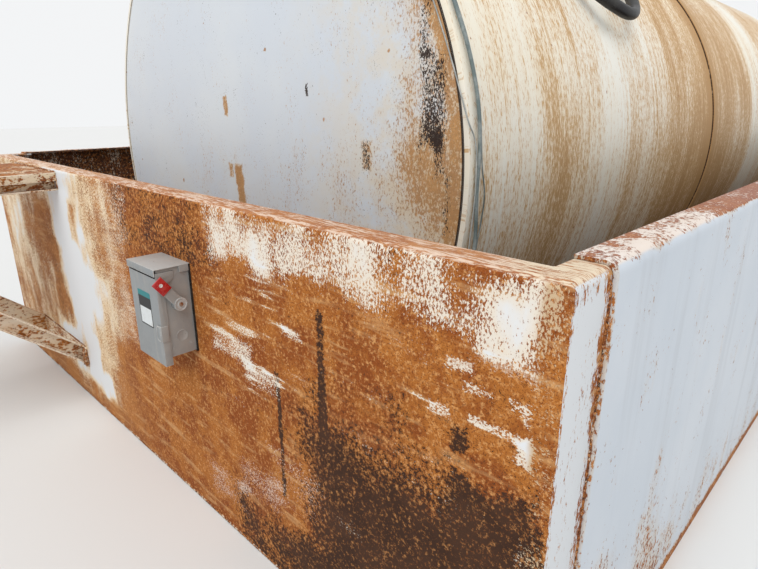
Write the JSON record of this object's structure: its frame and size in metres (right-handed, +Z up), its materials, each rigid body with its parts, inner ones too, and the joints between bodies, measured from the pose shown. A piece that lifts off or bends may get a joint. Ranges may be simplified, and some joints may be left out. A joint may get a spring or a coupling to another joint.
{
  "type": "horizontal storage tank in an open steel dike",
  "caption": "Horizontal cylindrical steel storage tank lying in an open rectangular containment dike, with a pump shelf and a switch box on the front wall.",
  "frame": {"origin": "middle of the dike's underside, on the ground", "axes": "+Z up, +Y along the tank away from the front wall, +X to the right seen from the front"},
  "size_m": [2.4766, 5.13, 1.97],
  "materials": {
    "white_paint": "weathered satin paint with rust",
    "rusted_paint": "paint mostly lost to rust",
    "rusted_steel": "rusted with paint remains",
    "grey_enamel": "smooth grey enamel",
    "plated_steel": "dull plating",
    "red_plastic": "glossy",
    "black_rubber": "matt",
    "cable_sheath": "worn sheath",
    "cast_fittings": "rusted casting",
    "cast_alloy": "dull casting"
  },
  "bodies": {
    "tank_and_dike": {"dike_floor": "white_paint", "front_wall": "rusted_paint", "rear_wall": "white_paint", "left_wall": "white_paint", "right_wall": "white_paint", "front_head": "white_paint", "rear_head": "white_paint", "front_ring": "white_paint", "rear_ring": "white_paint", "front_course": "white_paint", "rear_course": "white_paint", "front_cradle": "white_paint", "rear_cradle": "white_paint", "front_lug": "white_paint", "rear_lug": "white_paint", "relief_neck": "white_paint", "relief_cover": "cast_alloy", "fill_neck": "white_paint", "fill_cap": "cast_fittings", "vent_pipe": "white_paint", "vent_hood": "cast_alloy", "gauge_neck": "white_paint", "gauge_head": "grey_enamel", "wire_glands": "grey_enamel", "gauge_cable": "cable_sheath", "front_wire": "cable_sheath", "rear_wire": "cable_sheath", "hose_fittings": "cast_fittings", "hose": "black_rubber", "shelf_plate": "rusted_steel", "shelf_arms": "rusted_steel", "shelf_braces": "rusted_steel", "brace_cleat": "rusted_steel", "switch_body": "grey_enamel", "switch_hood": "grey_enamel", "cover_pin": "plated_steel"},
    "cover": {"switch_cover": "grey_enamel", "cover_latch": "grey_enamel"},
    "handle": {"handle_hub": "grey_enamel", "handle_lever": "grey_enamel", "handle_tip": "red_plastic"}
  },
  "joints": [
    {"name": "cover_hinge", "type": "hinge", "parent": "tank_and_dike", "child": "cover", "pos_m": [0.287, -2.281, 0.633], "axis": [-1, 0, 0], "range_deg": [0, 90]},
    {"name": "handle_turn", "type": "hinge", "parent": "tank_and_dike", "child": "handle", "pos_m": [0.355, -2.246, 0.579], "axis": [1, 0, 0], "range_deg": [0, 80]}
  ]
}
